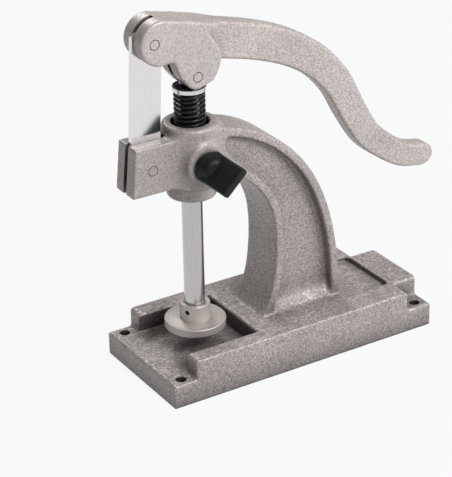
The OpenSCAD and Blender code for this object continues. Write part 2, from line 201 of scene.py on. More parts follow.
def settle(piece):
    """Applies the piece's modifiers to its mesh."""
    bpy.context.view_layer.update()
    done = bpy.data.meshes.new_from_object(piece.evaluated_get(bpy.context.evaluated_depsgraph_get()))
    piece.modifiers.clear()
    piece.data = done
    return piece


def thin(piece, share):
    """Fewer triangles on a flat skin, with its shape kept."""
    fewer = piece.modifiers.new("fewer", "DECIMATE")
    fewer.ratio = share
    return settle(piece)


def cut(piece, tools):
    """Machines each tool out of the piece, leaving crisp edges."""
    for tool in tools:
        bore = piece.modifiers.new("cut", "BOOLEAN")
        bore.operation = "DIFFERENCE"
        bore.solver = "MANIFOLD"
        bore.object = tool
    settle(piece)
    for tool in tools:
        bpy.data.objects.remove(tool)
    return piece


def lathe(name, profile, spot, along, sides=96):
    """A turned body: its profile of (radius, distance) points, in mm, turned round a line."""
    turn = Vector((0, 0, 1)).rotation_difference(Vector(along)).to_matrix()
    rings, faces = [], []
    for r, z in profile:
        rings.append([Vector(spot) + turn @ Vector((r * math.cos(2 * math.pi * i / sides),
                                                   r * math.sin(2 * math.pi * i / sides), z))
                      for i in range(sides)])
    points = [p / 1000 for ring in rings for p in ring]
    for k in range(len(rings) - 1):
        for i in range(sides):
            j = (i + 1) % sides
            faces.append((k * sides + i, k * sides + j, (k + 1) * sides + j, (k + 1) * sides + i))
    last = (len(rings) - 1) * sides
    faces.append(tuple(range(sides - 1, -1, -1)))
    faces.append(tuple(last + i for i in range(sides)))
    mesh = bpy.data.meshes.new(name)
    mesh.from_pydata(points, [], faces)
    mesh.update()
    return place(name, mesh)


def block(name, low, high):
    """A square-edged cutter between two corners, in mm."""
    spots = [(x, y, z) for x in (low[0], high[0]) for y in (low[1], high[1]) for z in (low[2], high[2])]
    mesh = bpy.data.meshes.new(name)
    mesh.from_pydata([Vector(s) / 1000 for s in spots], [],
                     [(0, 1, 3, 2), (4, 6, 7, 5), (0, 4, 5, 1), (2, 3, 7, 6), (0, 2, 6, 4), (1, 5, 7, 3)])
    mesh.update()
    return place(name, mesh)


def coat(piece, material):
    """The one material of a piece, on all its faces."""
    piece.data.materials.clear()
    piece.data.materials.append(material)
    piece.data.polygons.foreach_set("material_index", np.zeros(len(piece.data.polygons), np.int32))


def shade(piece, angle=40):
    """Smooth faces, with edges left sharp where they turn by more than the angle."""
    piece.data.polygons.foreach_set("use_smooth", np.ones(len(piece.data.polygons), bool))
    piece.data.set_sharp_from_angle(angle=math.radians(angle))
    return piece


def pin_line(spot):
    """The point where a pin crosses the middle of the press, and its direction."""
    return (spot[0], 0, spot[1]), (0, 1, 0)


def pinhole(name, spot, r, half, rim):
    """A drill through both cheeks at y = -half and half, with a small countersink at each mouth."""
    deep = half + 1
    profile = [(r + rim + 1, -deep), (r + rim, -half), (r, -half + 3 * rim), (r, half - 3 * rim),
               (r + rim, half), (r + rim + 1, deep)]
    return lathe(name, profile, *pin_line(spot), sides=64)


throat = np.concatenate([[(ram_x + 5, head_low + 22)],
                         bezier((-30.7, 125), (-10.7, 108.5), (-6, 96), (-6, 74), 24),
                         bezier((-6, 74), (-6, 51), (-10.4, 32.5), (-19, 25.5), 18)[1:]])
column_back = bezier((-46.5, 157.5), (6, 151.5), (41.2, 106.5), (39.3, 25.5), 36)
column_side = np.concatenate([throat, [(-19, 10), (39.3, 10)], column_back[::-1]])
plateau_plan = np.array([(-77.5, -60), (75.5, -60), (75.5, -24.5), (120, -24.5), (120, 21.5), (75.5, 21.5),
                         (75.5, 60), (-77.5, 60), (-77.5, 28), (-28.5, 28), (-28.5, -28), (-77.5, -28)])


def frame_body(x, y, z):
    across_ram = np.hypot(x - ram_x, y)
    plan = outline_depth(x[:, :, 0], y[:, :, 0], plateau_plan)[:, :, None]
    plateau = common(plan, z - plateau_h, soft=2.8)
    base = join(z - flange_h, plateau, soft=2)
    base = common(base, np.maximum(np.abs(x) - base_l / 2, np.abs(y) - base_w / 2), soft=1.8)
    recess_floor = plateau_h - recess_step - (x - recess_start) * recess_fall
    recess = slab(np.abs(x - recess_x) - recess_half_l, np.abs(y - recess_y) - recess_half_w, r=4)
    recess = common(recess, recess_floor - z, soft=1)
    side = outline_depth(x[:, 0, :], z[:, 0, :], column_side)[:, None, :]
    column = slab(side, np.abs(y) - np.interp(z, column_narrows, column_halves), r=1.3)
    web = common(side + rim_wide, web_half - np.abs(y), soft=2)
    web = common(web, web_clear - across_ram, soft=5)
    foot_slope = (plateau_h + web_foot - np.abs(y) - z) * 0.7
    web = common(web, foot_slope, soft=4)
    column = common(column, -web, soft=1.4)
    head = slab(across_ram - head_r, np.maximum(z - head_top, head_low - z), r=2.4)
    nose = slab(across_ram - nose_r, np.maximum(z - head_low - nose_up, head_low - nose_drop - z), r=1.2)
    boss = slab(np.hypot(x - ram_x, z - clamp_z) - boss_r, np.maximum(-boss_reach - y, y), r=2.2)
    ear_tip = ear_end + ear_lean * (z - pin_low[1] + ear_high) / (2 * ear_high)
    ears = slab(np.maximum(ear_tip - x, x - ram_x), np.abs(z - pin_low[1]) - ear_high, r=0.7)
    ears = common(ears, np.abs(y) - ear_half, soft=1.2)
    top = join(head, column, soft=5)
    top = join(top, ears, soft=4)
    top = np.minimum(join(top, boss, soft=5), nose)
    return np.maximum(common(join(base, top, soft=1.8), -recess, soft=1.5), -z)


casting = skin("frame_body", frame_body, (-99, -42, -2), (95, 42, 163), step=0.8)
casting = thin(casting, share=0.4)
tools = [lathe("bore", [(bore_r, 100), (bore_r, 170)], *ram_line),
         lathe("seat", [(seat_r, seat_low), (seat_r, head_top - 0.7), (seat_r + 0.7, head_top),
                        (seat_r + 1.7, head_top + 1)], *ram_line),
         block("slot", (-130, -slot_half, 100), (pin_low[0] + slot_deep, slot_half, 180)),
         pinhole("pinhole", pin_low, pin_r, ear_half, 0.12),
         lathe("boss_face", [(boss_r + 1, boss_reach), (boss_r + 1, boss_reach + 4)], *clamp_line),
         lathe("clamp_hole", [(stud_hole_r, 0), (stud_hole_r, 30)], *clamp_line, sides=64)]
bolt_hole = [(bolt_hole_r, -2), (bolt_hole_r, flange_h - 0.25), (bolt_hole_r + 0.25, flange_h),
             (bolt_sink_r, flange_h + 1.25), (bolt_sink_r, flange_h + 4)]
tools += [lathe("bolt_hole", bolt_hole, (x, y, 0), (0, 0, 1), 64) for x, y in bolt_spots]
cut(casting, tools)
shade(casting)


def nodes_of(name):
    """A new material with its shader, and a short way to add and wire nodes."""
    material = bpy.data.materials.new(name)
    material.use_nodes = True
    tree = material.node_tree
    shader = tree.nodes["Principled BSDF"]

    def add(kind, feeds=(), **values):
        """A node; what feeds a socket is another node's output or a plain value."""
        node = tree.nodes.new(kind)
        for key, value in values.items():
            if key in node.inputs:
                node.inputs[key].default_value = value
            else:
                setattr(node, key, value)
        for socket, source in dict(feeds).items():
            if isinstance(source, bpy.types.NodeSocket):
                tree.links.new(source, node.inputs[socket])
            else:
                node.inputs[socket].default_value = source
        return node

    def wire(source, socket):
        tree.links.new(source, shader.inputs[socket])

    return material, shader, add, wire


def sums(add, operation, *sides):
    """What a sum makes of its sides, each an output or a number."""
    return add("ShaderNodeMath", dict(enumerate(sides)), operation=operation).outputs["Value"]


def spread(add, value, start, end, low=0.0, high=1.0):
    """Goes from low to high as the value goes from start to end, and stays there beyond them."""
    return add("ShaderNodeMapRange", {"Value": value, "From Min": start, "From Max": end,
                                      "To Min": low, "To Max": high}).outputs["Result"]


def ramp(add, source, stops):
    node = add("ShaderNodeValToRGB", {"Fac": source})
    node.color_ramp.elements[0].position = stops[0][0]
    node.color_ramp.elements[0].color = (*stops[0][1], 1)
    node.color_ramp.elements[1].position = stops[-1][0]
    node.color_ramp.elements[1].color = (*stops[-1][1], 1)
    for position, colour in stops[1:-1]:
        node.color_ramp.elements.new(position).color = (*colour, 1)
    return node.outputs["Color"]


def bumps(add, height, strength, distance=0.0001):
    """The bump node of a surface whose relief is height, distance deep in metres."""
    return add("ShaderNodeBump", {"Height": height}, Strength=strength, Distance=distance)


# The walls of the pocket under the ram and of the recess behind the column get painted
# shade: each is given by its span along x, its half width and its heights, in mm.
shaded_walls = (((-78.5, -27.8), 28.9, (15.6, 26.8)), ((71.5, 74.5), 23.6, (22.2, 26.8)))
# How dark the painted wall shade is, and how much brighter the painted edge highlight makes the colour.
wall_shade, painted_highlight_gain = 0.35, 1.45


def hammertone(name, cell, depth, pale, dark, wrinkle=0.0):
    """Hammertone paint: pale flakes in darker pools, wrinkled where it lay flat. Painted shade
    darkens its corners and hollows, the wrinkles' creases and the sunk walls, and a painted
    highlight brightens the rounded edges where it wrinkles."""
    material, shader, add, wire = nodes_of(name)
    spot = add("ShaderNodeTexCoord").outputs["Object"]
    drift = add("ShaderNodeTexNoise", {"Vector": spot}, Scale=260.0, Detail=2.0).outputs["Color"]
    bent = add("ShaderNodeVectorMath", {0: drift}, operation="SCALE", Scale=0.0022).outputs["Vector"]
    moved = add("ShaderNodeVectorMath", {0: spot, 1: bent}, operation="ADD").outputs["Vector"]
    pools = add("ShaderNodeTexVoronoi", {"Vector": moved}, feature="SMOOTH_F1", Scale=1 / cell,
                Smoothness=0.5)
    fine = add("ShaderNodeTexNoise", {"Vector": moved}, Scale=0.9 / cell, Detail=3.0, Roughness=0.75)
    grain = sums(add, "MULTIPLY_ADD", pools.outputs["Distance"], 0.45, -0.2)
    mix = sums(add, "ADD", grain, fine.outputs["Fac"])
    at = add("ShaderNodeSeparateXYZ", {0: spot}).outputs
    behind = spread(add, at["X"], -0.052, -0.022)
    lower = spread(add, at["Z"], 0.10, 0.07)
    strength = spread(add, sums(add, "MAXIMUM", behind, lower), 0.0, 1.0, 0.55, 1.0)
    sized = sums(add, "MULTIPLY", sums(add, "SUBTRACT", mix, 0.5), strength)
    mottle = sums(add, "ADD", sized, 0.5)
    if wrinkle:
        normal = add("ShaderNodeSeparateXYZ", {0: add("ShaderNodeNewGeometry").outputs["Normal"]}).outputs
        low = spread(add, at["Z"], 0.029, 0.04, 1.0, 0.0)
        amount = sums(add, "MULTIPLY", spread(add, normal["Z"], 0.5, 0.95, 0.0, wrinkle), low)
        drawn = add("ShaderNodeVectorMath", {0: moved, 1: (0.55, 1.2, 1.0)}, operation="MULTIPLY")
        waves = add("ShaderNodeTexNoise", {"Vector": drawn.outputs["Vector"]}, Scale=360.0, Detail=2.0,
                    Distortion=1.2).outputs["Fac"]
        apart = sums(add, "ABSOLUTE", sums(add, "SUBTRACT", waves, 0.5))
        # Painted shade: the creases of the wrinkles are painted darker, and the paint between them a little
        # paler.
        painted_crease_shade = spread(add, apart, 0.0, 0.09, 0.3, -0.09)
        mottle = sums(add, "ADD", mottle, sums(add, "MULTIPLY", painted_crease_shade, amount))
        # Painted highlight: low rounded edges that face the front, broken up by the wrinkles, are painted
        # brighter.
        round_edge = ramp(add, normal["Z"], [(0.3, (0, 0, 0)), (0.5, (1, 1, 1)), (0.75, (1, 1, 1)),
                                             (0.94, (0, 0, 0))])
        front = spread(add, normal["Y"], -0.6, -0.1, 1.0, 0.3)
        broken = spread(add, waves, 0.35, 0.6, 0.2, 1.0)
        edge = sums(add, "MULTIPLY", round_edge, low)
        edge = sums(add, "MULTIPLY", sums(add, "MULTIPLY", edge, front), broken)
        painted_edge_highlight = spread(add, edge, 0.0, 1.0, 1.0, painted_highlight_gain)
    middle = tuple((a + b) / 2 for a, b in zip(pale, dark))
    colour = ramp(add, mottle, [(0.36, pale), (0.50, middle), (0.64, dark)])
    cloud = add("ShaderNodeTexNoise", {"Vector": spot}, Scale=38.0, Detail=2.0).outputs["Fac"]
    # Painted shade: the colour is darkened where ambient occlusion finds corners, hollows and the space under
    # other parts.
    corner = add("ShaderNodeAmbientOcclusion", samples=4, Distance=0.02).outputs["AO"]
    tone = sums(add, "MULTIPLY", spread(add, cloud, 0.3, 0.7, 0.92, 1.06),
                spread(add, corner, 0.25, 0.9, 0.08, 1.0))
    if wrinkle:
        tone = sums(add, "MULTIPLY", tone, painted_edge_highlight)
        # Painted shade: upright faces inside the sunk places listed above are darkened to wall_shade.
        aside = sums(add, "ABSOLUTE", at["Y"])
        upright = spread(add, normal["Z"], 0.2, 0.6, 1.0, 0.0)

        def within(value, start, end):
            """1 between start and end, in mm, and 0 outside."""
            rise = spread(add, value, (start - 0.3) / 1000, (start + 0.3) / 1000)
            fall = spread(add, value, (end - 0.3) / 1000, (end + 0.3) / 1000, 1.0, 0.0)
            return sums(add, "MULTIPLY", rise, fall)

        walls = []
        for x_span, half_width, z_span in shaded_walls:
            wall = sums(add, "MULTIPLY", upright, within(at["X"], *x_span))
            wall = sums(add, "MULTIPLY", wall, within(aside, -1, half_width))
            walls.append(sums(add, "MULTIPLY", wall, within(at["Z"], *z_span)))
        painted_wall_shade = spread(add, sums(add, "ADD", *walls), 0.0, 1.0, 1.0, wall_shade)
        tone = sums(add, "MULTIPLY", tone, painted_wall_shade)
    shown = add("ShaderNodeVectorMath", {0: colour, "Scale": tone}, operation="SCALE")
    wire(shown.outputs["Vector"], "Base Color")
    wire(spread(add, mottle, 0.3, 0.8, 0.32, 0.5), "Roughness")
    lumps = bumps(add, mottle, 0.55, depth)
    lumps.invert = True
    wire(lumps.outputs["Normal"], "Normal")
    shader.inputs["Metallic"].default_value = 0.15
    return material


casting_paint = hammertone("hammertone_frame", cell=0.00095, depth=0.00028, pale=(0.645, 0.58, 0.555),
                           dark=(0.315, 0.282, 0.27), wrinkle=1.3)
coat(casting, casting_paint)
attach(casting, "frame")
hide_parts("frame_casting")

# The ram is a ground steel rod. Its top is milled to a flat tongue that goes
# between the lever's cheeks, and a groove below it takes the retaining ring.
pin_ram = (ram_x, 190.1)
ram_r, tongue_r, tongue_half = 6.25, 5.95, 1.6
shoulder, rod_foot = pin_ram[1] - 7.9, 30.6
groove_r, groove_low, groove_high = 5.45, shoulder - 1.4, shoulder - 0.6
rod = lathe("ram_rod_body", [(ram_r - 0.65, rod_foot), (ram_r, rod_foot + 0.65), (ram_r, groove_low),
                             (groove_r, groove_low), (groove_r, groove_high), (ram_r, groove_high),
                             (ram_r, shoulder), (2.2, shoulder)], *ram_line, sides=128)
tongue_side = np.concatenate([[(ram_x - tongue_r, shoulder - 3), (ram_x + tongue_r, shoulder - 3)],
                              arc(pin_ram, tongue_r, 0, 180, 32)])


def plate(name, side, half):
    """A flat piece with the outline side, given as x and z in mm, of thickness 2 * half."""
    n = len(side)
    points = [Vector((x, y, z)) / 1000 for y in (-half, half) for x, z in side]
    faces = [tuple(range(n)), tuple(n + i for i in range(n - 1, -1, -1))]
    faces += [((i + 1) % n, i, n + i, n + (i + 1) % n) for i in range(n)]
    mesh = bpy.data.meshes.new(name)
    mesh.from_pydata(points, [], faces)
    mesh.update()
    return place(name, mesh)


def merge(name, pieces):
    """Several bodies of one piece as one object."""
    mesh = bpy.data.meshes.new(name)
    points, faces = [], []
    for piece in pieces:
        start = len(points)
        points += [v.co.copy() for v in piece.data.vertices]
        faces += [tuple(start + i for i in p.vertices) for p in piece.data.polygons]
        bpy.data.objects.remove(piece)
    mesh.from_pydata(points, [], faces)
    mesh.update()
    return place(name, mesh)


tongue = plate("tongue", tongue_side, tongue_half)
cut(tongue, [lathe("pin_bore", [(pin_r, -10), (pin_r, 10)], *pin_line(pin_ram), sides=48)])
rod = shade(merge("ram_body", [rod, tongue]), 30)


def ground_steel(name, colour, rough, grain, stretch, painted_shade_above=1.0):
    """Bright steel with fine marks from grinding, at stretch marks a metre along x, y and z,
    and painted darker above a height in metres, as shade."""
    material, shader, add, wire = nodes_of(name)
    spot = add("ShaderNodeTexCoord").outputs["Object"]
    drawn = add("ShaderNodeVectorMath", {0: spot, 1: stretch}, operation="MULTIPLY").outputs["Vector"]
    marks = add("ShaderNodeTexNoise", {"Vector": drawn}, Scale=1.0, Detail=3.0, Roughness=0.7).outputs["Fac"]
    bright = ramp(add, marks, [(0.3, tuple(c * 0.86 for c in colour)), (0.7, colour)])
    height = add("ShaderNodeSeparateXYZ", {0: spot}).outputs["Z"]
    painted_top_shade = spread(add, height, painted_shade_above, painted_shade_above + 0.001, 1.0, 0.25)
    shown = add("ShaderNodeVectorMath", {0: bright, "Scale": painted_top_shade}, operation="SCALE")
    wire(shown.outputs["Vector"], "Base Color")
    wire(spread(add, marks, 0.3, 0.7, rough * 0.8, rough * 1.3), "Roughness")
    wire(bumps(add, marks, grain).outputs["Normal"], "Normal")
    shader.inputs["Metallic"].default_value = 1.0
    return material


# The ram's tongue, above the shoulder, is painted darker as the shade between the lever's cheeks.
coat(rod, ground_steel("ram_steel", (0.54, 0.52, 0.525), 0.16, 0.15, (1500, 1500, 25),
                       painted_shade_above=(shoulder - 0.5) / 1000))
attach(rod, "ram")
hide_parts("ram_rod")

# The pressing disc is turned from aluminium bar: a flat flange and a hub with
# a blind bore for the ram. A grub screw through the hub holds it on.
disc_low, disc_flange, disc_top = 27.6, 32.4, 42.9
flange_r, hub_root_r, disc_hub_r = 18.6, 9.9, 9.25
grub_high, grub_turn = disc_top - 4, math.radians(208)
grub_line = (ram_x, 0, grub_high), Vector((math.cos(grub_turn), math.sin(grub_turn), 0))
disc_profile = [(flange_r - 0.4, disc_low), (flange_r, disc_low + 0.4), (flange_r, disc_flange - 0.4),
                (flange_r - 0.4, disc_flange), (hub_root_r, disc_flange),
                (hub_root_r - 0.5, disc_flange + 0.15), (disc_hub_r, disc_flange + 0.5),
                (disc_hub_r, disc_top - 0.5), (disc_hub_r - 0.5, disc_top)]
disc = lathe("disc_body", disc_profile, *ram_line, sides=128)
cut(disc, [lathe("bore", [(bore_r, rod_foot), (bore_r, disc_top - 0.3), (bore_r + 0.6, disc_top + 0.3)],
                 *ram_line),
           lathe("grub_hole", [(1.5, 0), (1.5, 9), (1.9, 9.4), (1.9, 12)], *grub_line, sides=48)])
shade(disc, 30)
turned, turned_shader, add, wire = nodes_of("turned_aluminium")
spot = add("ShaderNodeTexCoord").outputs["Object"]
centred = add("ShaderNodeVectorMath", {0: spot, 1: (ram_x / 1000, 0, 0)}, operation="SUBTRACT")
parts = add("ShaderNodeSeparateXYZ", {0: centred.outputs["Vector"]}).outputs
flat = add("ShaderNodeCombineXYZ", {"X": parts["X"], "Y": parts["Y"]}).outputs["Vector"]
radius = add("ShaderNodeVectorMath", {0: flat}, operation="LENGTH").outputs["Value"]
ring_place = add("ShaderNodeCombineXYZ", {"X": radius, "Z": parts["Z"]}).outputs["Vector"]
rings = add("ShaderNodeTexNoise", {"Vector": ring_place}, Scale=2600.0, Detail=3.0).outputs["Fac"]
wire(ramp(add, rings, [(0.3, (0.46, 0.42, 0.395)), (0.7, (0.72, 0.67, 0.635))]), "Base Color")
wire(bumps(add, rings, 0.25).outputs["Normal"], "Normal")
turned_shader.inputs["Metallic"].default_value = 0.5
turned_shader.inputs["Roughness"].default_value = 0.5
coat(disc, turned)
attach(disc, "ram")
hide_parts("pressing_disc")

# The grub screw is black steel with a hexagon socket. It is turned into the
# cross hole in the hub until it bears on the ram, and so it holds the disc on.
grub_r, grub_start, grub_end, socket_r, socket_deep = 1.45, 6.25, 8.45, 0.8, 1.2
grub = lathe("grub_body", [(grub_r - 0.35, grub_start), (grub_r, grub_start + 0.35), (grub_r, grub_end - 0.2),
                           (grub_r - 0.2, grub_end)], *grub_line, sides=48)
cut(grub, [lathe("socket", [(socket_r, grub_end - socket_deep), (socket_r, grub_end + 1)],
                 *grub_line, sides=6)])
shade(grub, 30)


def black_steel(name, rough):
    """Oil-blackened steel, a little uneven."""
    material, shader, add, wire = nodes_of(name)
    spot = add("ShaderNodeTexCoord").outputs["Object"]
    cloud = add("ShaderNodeTexNoise", {"Vector": spot}, Scale=900.0, Detail=3.0).outputs["Fac"]
    wire(ramp(add, cloud, [(0.3, (0.012, 0.012, 0.013)), (0.75, (0.035, 0.034, 0.034))]), "Base Color")
    wire(spread(add, cloud, 0.0, 1.0, rough * 0.8, rough * 1.3), "Roughness")
    wire(bumps(add, cloud, 0.2).outputs["Normal"], "Normal")
    shader.inputs["Metallic"].default_value = 0.6
    return material


coat(grub, black_steel("grub_black", 0.4))
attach(grub, "ram")
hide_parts("disc_grub_screw")

# The collar is a turned steel cup on the ram that the spring pushes up. An open
# ring of black steel, sunk in its top, snaps into the ram's groove and holds it.
ring_low, ring_thick, ring_r, ring_inner_r = groove_low, 0.8, 8.8, 5.5
collar_top = shoulder - 0.1
collar_low, collar_r, sink_r = collar_top - 2.8, 9.9, 9.1
collar = lathe("collar_body", [(collar_r - 0.3, collar_low), (collar_r, collar_low + 0.3),
                               (collar_r, collar_top - 0.2), (collar_r - 0.2, collar_top)], *ram_line)
cut(collar, [lathe("bore", [(bore_r, collar_low - 1), (bore_r, collar_top + 1)], *ram_line),
             lathe("sink", [(sink_r, ring_low), (sink_r, collar_top - 0.15),
                            (sink_r + 0.3, collar_top + 0.15)], *ram_line)])
shade(collar, 30)
coat(collar, ground_steel("collar_steel", (0.74, 0.73, 0.72), 0.2, 0.1, (300, 300, 5000)))
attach(collar, "ram")
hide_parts("spring_collar")
ring = lathe("ring_body", [(ring_r - 0.15, ring_low), (ring_r, ring_low + 0.15),
                           (ring_r, ring_low + ring_thick - 0.15),
                           (ring_r - 0.15, ring_low + ring_thick)], *ram_line)
cut(ring, [lathe("bore", [(ring_inner_r, ring_low - 1), (ring_inner_r, ring_low + 2)], *ram_line),
           block("gap", (ram_x + 3, -2.5, ring_low - 1), (ram_x + 10, 2.5, ring_low + 2))])
shade(ring, 30)
coat(ring, black_steel("ring_black", 0.35))
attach(ring, "ram")
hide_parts("retaining_ring")

# The return spring is black wire wound in eleven turns, the first and the last
# closed. It stands in the head's seat and lifts the ram through the collar.
wire_r, wire_sides, coil_r = 1.0, 14, 8.35
coil_low, coil_high = seat_low + 1.3, collar_low - 1.3
closed_rise, coil_turns, per_turn = 2.45, 11, 40
open_rise = (coil_high - coil_low - 2 * closed_rise) / (coil_turns - 2)


def coil_height(t):
    """The wire's height after t turns, with the first and the last turn closed."""
    first = np.minimum(t, 1) * closed_rise
    open_turns = (np.clip(t, 1, coil_turns - 1) - 1) * open_rise
    last = np.maximum(t - coil_turns + 1, 0) * closed_rise
    return coil_low + first + open_turns + last


turn_at = np.linspace(0, coil_turns, coil_turns * per_turn + 1)
centre = np.stack([ram_x + coil_r * np.cos(2 * np.pi * turn_at), coil_r * np.sin(2 * np.pi * turn_at),
                   coil_height(turn_at)], 1)
points, faces = [], []
for spot_at, t in zip(centre, turn_at):
    out = np.array([math.cos(2 * math.pi * t), math.sin(2 * math.pi * t), 0])
    for k in range(wire_sides):
        a = 2 * math.pi * k / wire_sides
        points.append((spot_at + wire_r * (math.cos(a) * out + math.sin(a) * np.array([0, 0, 1]))) / 1000)
for near in range(0, (len(centre) - 1) * wire_sides, wire_sides):
    far = near + wire_sides
    for k in range(wire_sides):
        j = (k + 1) % wire_sides
        faces.append((near + k, far + k, far + j, near + j))
faces.append(tuple(range(wire_sides)))
faces.append(tuple((len(centre) - 1) * wire_sides + k for k in range(wire_sides - 1, -1, -1)))
coil_mesh = bpy.data.meshes.new("coil")
coil_mesh.from_pydata(points, [], faces)
coil = shade(place("spring_coil", coil_mesh), 50)
coat(coil, black_steel("spring_black", 0.28))
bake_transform(coil)
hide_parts("return_spring")

# The lever is the second casting, painted like the frame: a fork of two cheeks
# with a slot between them for the link and the ram, and an S-shaped handle.
pin_up = (ram_x - 27.3, 215.2)
fork_half, arm_half_t = 10.5, 6
back_lobe = (pin_up[0] + 4.8, pin_up[1] - 0.5)
front_lobe, front_r = np.array((pin_ram[0] - 4.5, pin_ram[1] + 10)), 20.6
fork_side = np.concatenate([arc(back_lobe, 13.4, -75, -286, 32),
                            [(pin_ram[0] - 13, pin_ram[1] + 36.1), (pin_ram[0] - 4.5, pin_ram[1] + 34.2)],
                            bezier((pin_ram[0] + 1, pin_ram[1] + 32), (pin_ram[0] + 6.5, pin_ram[1] + 25.2),
                                   front_lobe + [front_r, 6.5], front_lobe + [front_r, 0], 12),
                            arc(front_lobe, front_r, -4, -45, 12), arc(pin_ram, 7.6, -62, -140, 12),
                            [(pin_ram[0] - 10.8, pin_ram[1] + 1.2), (pin_ram[0] - 14.8, pin_ram[1] + 11.5)]])
arm_reach, arm_drop, grip_h, root_h = 172.6, 90.6, 14.6, 23
tip_r, tip_aim = grip_h / 2 - 0.4, math.degrees(math.atan2(-1, 12))
flare_z, flare_rise, flare_x, flare_run = 15, 12, 22, 16
shares = np.array([[-0.06, 0.263], [0.129, 0.179], [0.261, 0.113], [0.37, 0.037], [0.463, -0.057],
                   [0.538, -0.166], [0.612, -0.328], [0.672, -0.533], [0.741, -0.733], [0.816, -0.855],
                   [0.901, -0.957], [0.97, -0.992], [1, -1]])


def through(p, n):
    """A smooth curve through the points p."""
    q = np.concatenate([p[:1], p, p[-1:]])
    t = np.linspace(0, 1, n, endpoint=False)[:, None]
    runs = [0.5 * (2 * b + (c - a) * t + (2 * a - 5 * b + 4 * c - d) * t * t
                   + (3 * b - a - 3 * c + d) * t ** 3)
            for a, b, c, d in zip(q, q[1:], q[2:], q[3:])]
    return np.concatenate(runs + [p[-1:]])


arm_line = through(np.array(pin_ram) + shares * [arm_reach - tip_r, arm_drop], 8)
aim = np.gradient(arm_line, axis=0)
aim /= np.linalg.norm(aim, axis=1)[:, None]
taper = np.minimum(1, np.linspace(0, 1, len(arm_line))[:, None] / 0.92) ** 1.25
arm_half = (root_h + (grip_h - root_h) * taper) / 2
aside = np.stack([-aim[:, 1], aim[:, 0]], 1) * arm_half
arm_side = np.concatenate([(arm_line + aside)[:-1], arc(arm_line[-1], tip_r, tip_aim + 80, tip_aim - 80, 20),
                           (arm_line - aside)[:-1][::-1]])


def lever_body(x, y, z):
    fork = slab(outline_depth(x[:, 0, :], z[:, 0, :], fork_side)[:, None, :], np.abs(y) - fork_half, r=1.4)
    flare = (np.clip((z - pin_ram[1] - flare_z) / flare_rise, 0, 1)
             * np.clip((pin_ram[0] + flare_x - x) / flare_run, 0, 1))
    flare = flare * flare * (3 - 2 * flare)
    arm = slab(outline_depth(x[:, 0, :], z[:, 0, :], arm_side)[:, None, :],
               np.abs(y) - arm_half_t - (fork_half - arm_half_t) * flare, r=2.2)
    return join(fork, arm, soft=0.8)


lever = skin("lever_body", lever_body, (-97, -12, 90), (120, 12, 231), step=0.7)
lever = thin(lever, share=0.45)
slot_turn = math.atan2(pin_up[1] - pin_ram[1], pin_up[0] - pin_ram[0])
slot_tool = block("slot", (-60, -slot_half, -12.8), (180, slot_half, 40))
slot_tool.data.transform(Matrix.Translation(Vector((pin_ram[0], 0, pin_ram[1])) / 1000)
                         @ Matrix.Rotation(-slot_turn, 4, "Y"))
cut(lever, [slot_tool, pinhole("hole_up", pin_up, pin_r, fork_half, 0.2),
            pinhole("hole_ram", pin_ram, pin_r + 0.05, fork_half, 0.15)])
shade(lever)
# Painted light: the lever's copy of the frame's paint is given paler, for the stronger light up on the lever.
lever_paint = hammertone("hammertone_lever", cell=0.0011, depth=0.0002, pale=(0.74, 0.668, 0.638),
                         dark=(0.44, 0.398, 0.382))
coat(lever, lever_paint)
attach(lever, "lever")
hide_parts("lever_casting")

# The three pins are steel, pressed in flush and painted over with the castings.
# Their ends slope down to the rim, so a fine groove shows round each of them.
pin_flat_r, pin_rim_r, pin_slope = 2.7, 2.99, 0.9
for name, spot, half, paint, body, node in (
        ("pin_low", pin_low, ear_half, casting_paint, "frame", "link_pin_lower"),
        ("pin_up", pin_up, fork_half, lever_paint, "lever", "link_pin_upper"),
        ("pin_ram", pin_ram, fork_half, lever_paint, "ram", "ram_pin")):
    pin = lathe(name, [(1, -half), (2.3, -half), (pin_flat_r, -half), (pin_rim_r, -half + pin_slope),
                       (pin_rim_r, half - pin_slope), (pin_flat_r, half), (2.3, half), (1, half)],
                *pin_line(spot), sides=64)
    shade(pin, 20)
    coat(pin, paint)
    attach(pin, body)
    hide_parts(node)

# The link is a polished flat bar. Its lower end is round and turns on the ears'
# pin. Its upper end is crowned between two shoulders, and its eye there is wider.
link_half, link_r, crown_r, link_shoulder = 1.6, 9.5, 7.6, 3.2
eye_low_r, eye_up_r = 3.05, 5.1
link_aim = math.degrees(math.atan2(pin_up[1] - pin_low[1], pin_up[0] - pin_low[0]))
link_up = np.array([math.cos(math.radians(link_aim)), math.sin(math.radians(link_aim))])
link_out = np.array([link_up[1], -link_up[0]])
link_side = np.concatenate([[pin_up + link_shoulder * link_up + link_r * link_out],
                            arc(pin_up, crown_r, link_aim - 40, link_aim + 40, 24),
                            [pin_up + link_shoulder * link_up - link_r * link_out],
                            arc(pin_low, link_r, link_aim + 90, link_aim + 270, 40)])
link = plate("link_body", link_side, link_half)
cut(link, [lathe("eye", [(eye_low_r, -5), (eye_low_r, 5)], *pin_line(pin_low), sides=64),
           lathe("eye", [(eye_up_r, -5), (eye_up_r, 5)], *pin_line(pin_up), sides=64)])
soften = link.modifiers.new("soften", "BEVEL")
soften.width = 0.0003
soften.segments = 2
soften.limit_method = "ANGLE"
soften.angle_limit = math.radians(40)
shade(settle(link), 12)
coat(link, ground_steel("link_steel", (0.81, 0.79, 0.8), 0.1, 0.0, (2500, 2500, 90)))
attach(link, "link")
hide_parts("link_bar")

# The clamp knob is moulded black plastic: a round foot, a domed hub and one
# flat wing with rounded corners. It turns the stud in the head's boss.
knob_start, knob_end = boss_reach + 1.5, boss_reach + 30.4
foot_r, foot_h, hub_r, hub_h, hub_taper = 8.8, 3, 8.2, 9, 0.02
wing_turn, wing_half_w, wing_half_t, corner_r = math.radians(46), 9.8, 2.5, 2.6
wing_line = np.array([-math.sin(wing_turn), -math.cos(wing_turn)])


